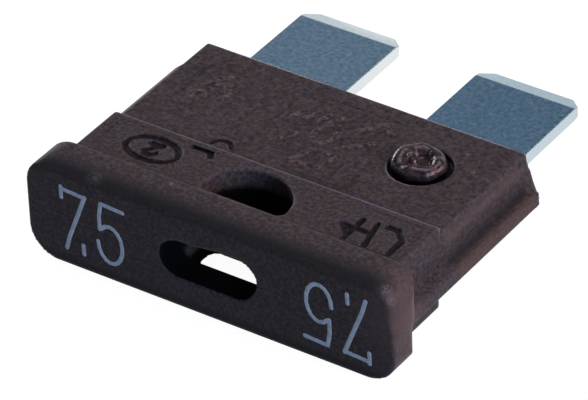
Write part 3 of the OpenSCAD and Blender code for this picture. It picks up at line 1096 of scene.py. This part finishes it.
def cloud(x, y, size, seed):
    """Smooth random values from 0 to 1 with lumps of a size in millimetres."""
    lumps = np.random.default_rng(seed).random((CLOUD_CELLS, CLOUD_CELLS))
    u, v = x / size + CLOUD_CELLS / 2, y / size + CLOUD_CELLS / 4
    i, j = np.floor(u).astype(int) % CLOUD_CELLS, np.floor(v).astype(int) % CLOUD_CELLS
    next_i, next_j = (i + 1) % CLOUD_CELLS, (j + 1) % CLOUD_CELLS
    s, t = ramp(u - np.floor(u), 0, 1), ramp(v - np.floor(v), 0, 1)
    near = lumps[i, j] * (1 - s) + lumps[next_i, j] * s
    far = lumps[i, next_j] * (1 - s) + lumps[next_i, next_j] * s
    return near * (1 - t) + far * t


def relief_patch(low, high, level, paths, width, relief, rough):
    """Points, faces and tones of a patch: level, with the strokes standing out or sunk, its rim diving a hair."""
    count = [int(round((b - a) / PATCH_STEP)) + 1 for a, b in zip(low, high)]
    along_x = np.linspace(low[0], high[0], count[0])
    along_y = np.linspace(low[1], high[1], count[1])
    x, y = np.meshgrid(along_x, along_y, indexing="ij")
    reach = np.minimum.reduce([path_distance(x, y, path) for path in paths])
    reach = reach + WALL_WANDER * (cloud(x, y, *WANDER_CLOUD) - 0.5)
    stands = 1.0 - ramp(reach, width / 2 - WALL_INSIDE, width / 2 + WALL_OUTSIDE)
    wear = 1.0 - rough * cloud(x, y, *WEAR_CLOUD)
    rim = np.minimum.reduce([x - low[0], high[0] - x, y - low[1], high[1] - y])
    dive = PATCH_DIVE * (1.0 - ramp(rim, PATCH_OVERLAP, PATCH_OVERLAP + DIVE_WIDTH))
    z = level + relief * stands * wear - dive
    points = np.stack([x, y, z], axis=-1).reshape(-1, 3)
    index = np.arange(len(points)).reshape(count)
    corners = [index[:-1, :-1], index[1:, :-1], index[1:, 1:], index[:-1, 1:]]
    faces = np.stack(corners, axis=-1).reshape(-1, 4)
    depth = (z - level).reshape(-1)[faces].mean(axis=1)
    speckle = cloud(x, y, *SPECKLE_CLOUD).reshape(-1)[faces].mean(axis=1)
    raised = depth > 0.2 * abs(relief)
    tone = np.where(raised & (speckle > 0.55), PALE_TONE, PLAIN_TONE)
    tone[raised & (speckle < 0.33)] = SPECK_TONE
    # Sunk strokes take painted shade
    tone[depth < -0.35 * abs(relief)] = DARK_TONE
    return points, faces, tone


def covered_by_patch(middles):
    """Tells which faces of the shell lie under a patch, short of its rim."""
    under = np.zeros(len(middles), bool)
    margin = PATCH_OVERLAP / 2
    for _, low, high, level, *_ in MARK_PATCHES:
        inside = np.abs(middles[:, 2] - level) < 0.02
        for axis in (0, 1):
            inside &= (middles[:, axis] > low[axis] + margin) & (middles[:, axis] < high[axis] - margin)
        under |= inside
    return under


def build_marks(tones):
    """The patches with their moulded marks. The tones are plain, grooved with painted shade, rubbed and speckled."""
    for name, low, high, level, paths, width, relief, rough in MARK_PATCHES:
        points, faces, tone = relief_patch(low, high, level, paths(), width, relief, rough)
        patch = new_piece(name, place(points), faces, tones[PLAIN_TONE])
        for material in tones[1:]:
            patch.data.materials.append(material)
        patch.data.polygons.foreach_set("material_index", tone.tolist())


# The pieces

SHELL_STEP, SHELL_LOW, SHELL_HIGH = 0.1, (-9.75, -0.2, -2.75), (9.75, 12.5, 2.75)
STAKE_STEP, STAKE_LOW, STAKE_HIGH = 0.04, (-1.35, -1.35, 1.1), (1.35, 1.35, 2.4)
WELD_REACH, SOFT_EDGE, SOFT_EDGE_ANGLE = 0.001, 0.05, 12


def build_shell(plastic):
    """The moulded housing with its soft edges, in place of the plain solid."""
    points, faces = surface_net(housing_field, SHELL_LOW, SHELL_HIGH, SHELL_STEP)
    points = settle(points, housing_field)
    faces = faces[~covered_by_patch(points[faces].mean(axis=1))]
    shell = new_piece("housing_shell", place(points), faces, plastic)
    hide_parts("housing")


def build_stakes(melted):
    """The melted stake on the upper face over one blade, and its twin below over the other."""
    points, faces = surface_net(stake_field, STAKE_LOW, STAKE_HIGH, STAKE_STEP)
    u, v, w = settle(points, stake_field).T
    for name, side in (("stake_upper", 1.0), ("stake_lower", -1.0)):
        placed = np.column_stack([side * (STAKE_X + u), STAKE_Y + v, side * w])
        new_piece(name, place(placed), faces, melted)


def finish_element(metal):
    """Keeps the stamped element's exact form and softens its cut edges."""
    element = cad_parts["fuse_element"]
    for slot_index in range(len(element.material_slots)):
        element.material_slots[slot_index].material = metal
    weld = element.modifiers.new("join_faces", "WELD")
    weld.merge_threshold = WELD_REACH * MM
    bevel = element.modifiers.new("soft_edges", "BEVEL")
    bevel.width = SOFT_EDGE * MM
    bevel.segments = 3
    bevel.limit_method = "ANGLE"
    bevel.angle_limit = math.radians(SOFT_EDGE_ANGLE)
    bevel.harden_normals = True


def main():
    """Camera, surroundings, then each piece with its material."""
    bpy.context.scene.view_settings.view_transform = "Standard"
    make_camera()
    make_floor()
    make_light()
    make_world()
    skin = skin_group()
    plastic = plastic_material(skin, spot_group())
    build_shell(plastic)
    grooved = mark_material("plastic_in_grooves_painted_shade", skin, GROOVED_SHADE)
    rubbed = mark_material("plastic_on_rubbed_tops", skin, RUBBED_SHADE)
    speckled = mark_material("plastic_in_specks", skin, SPECKLED_SHADE)
    build_marks((plastic, grooved, rubbed, speckled))
    build_stakes(melted_material(skin))
    finish_element(metal_material(skin))
    print_rating(ink_material(skin))


main()
